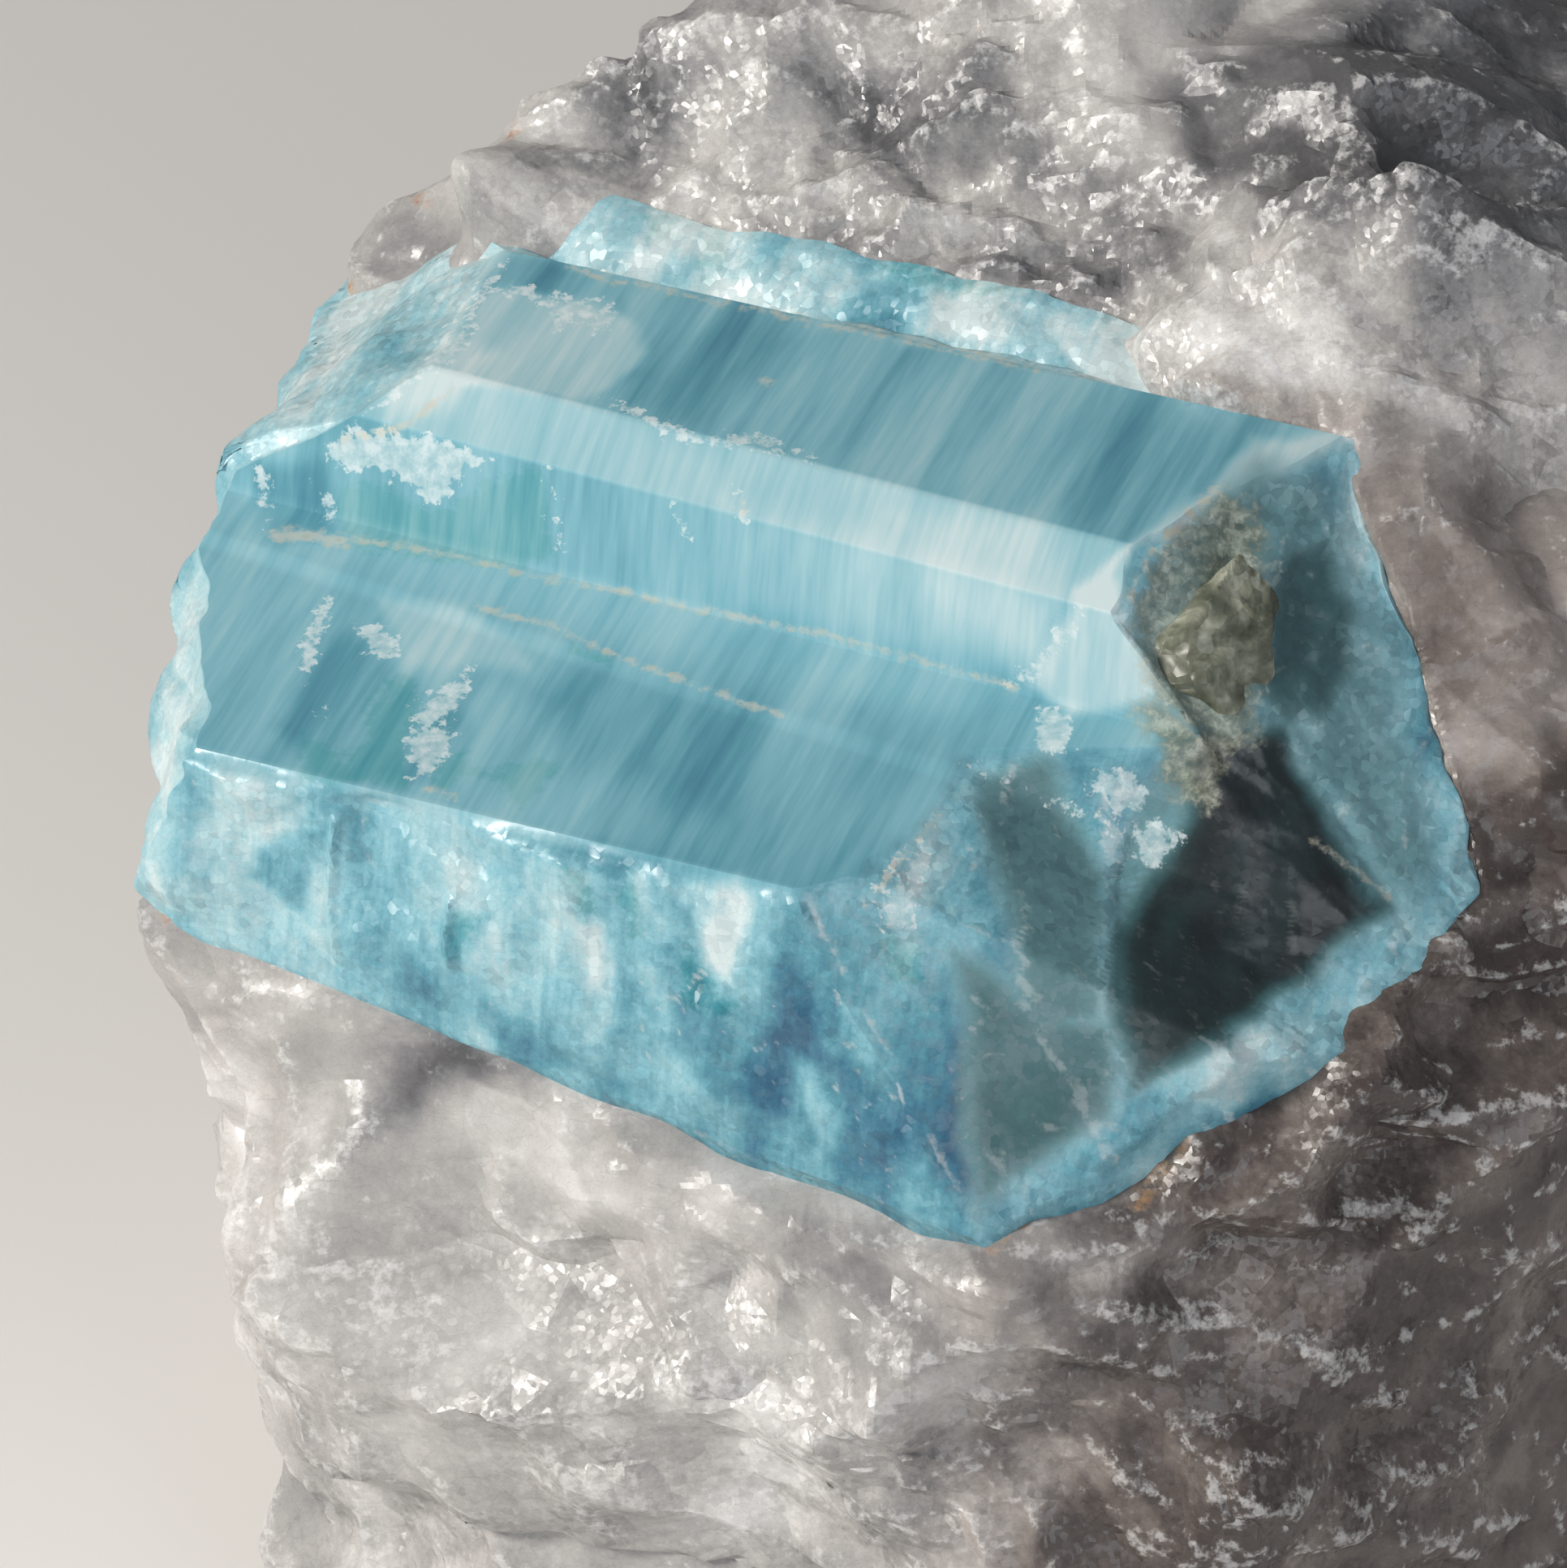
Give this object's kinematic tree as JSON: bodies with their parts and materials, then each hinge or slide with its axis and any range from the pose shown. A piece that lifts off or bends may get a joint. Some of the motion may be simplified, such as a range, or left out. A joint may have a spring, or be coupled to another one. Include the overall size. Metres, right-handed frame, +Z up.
{
  "type": "tourmaline crystal on matrix",
  "caption": "Stepped blue tourmaline prism set in the upper front of a broken lump of milky and smoky quartz, standing on its flat underside",
  "frame": {"origin": "On the flat underside that the lump stands on, below its middle", "axes": "+Z up, away from the flat underside; -Y is the front, where the crystal shows; +X is to the right as seen from the front"},
  "size_m": [0.0388, 0.0364, 0.0335],
  "materials": {
    "quartz": "broken, glassy and uneven",
    "tourmaline": "smooth glassy faces with fine streaks, broken at the ends",
    "feldspar": "dull, cleaved"
  },
  "bodies": {
    "root": {"quartz_matrix": "quartz", "indicolite_crystal": "tourmaline", "feldspar_grain": "feldspar"}
  },
  "joints": []
}
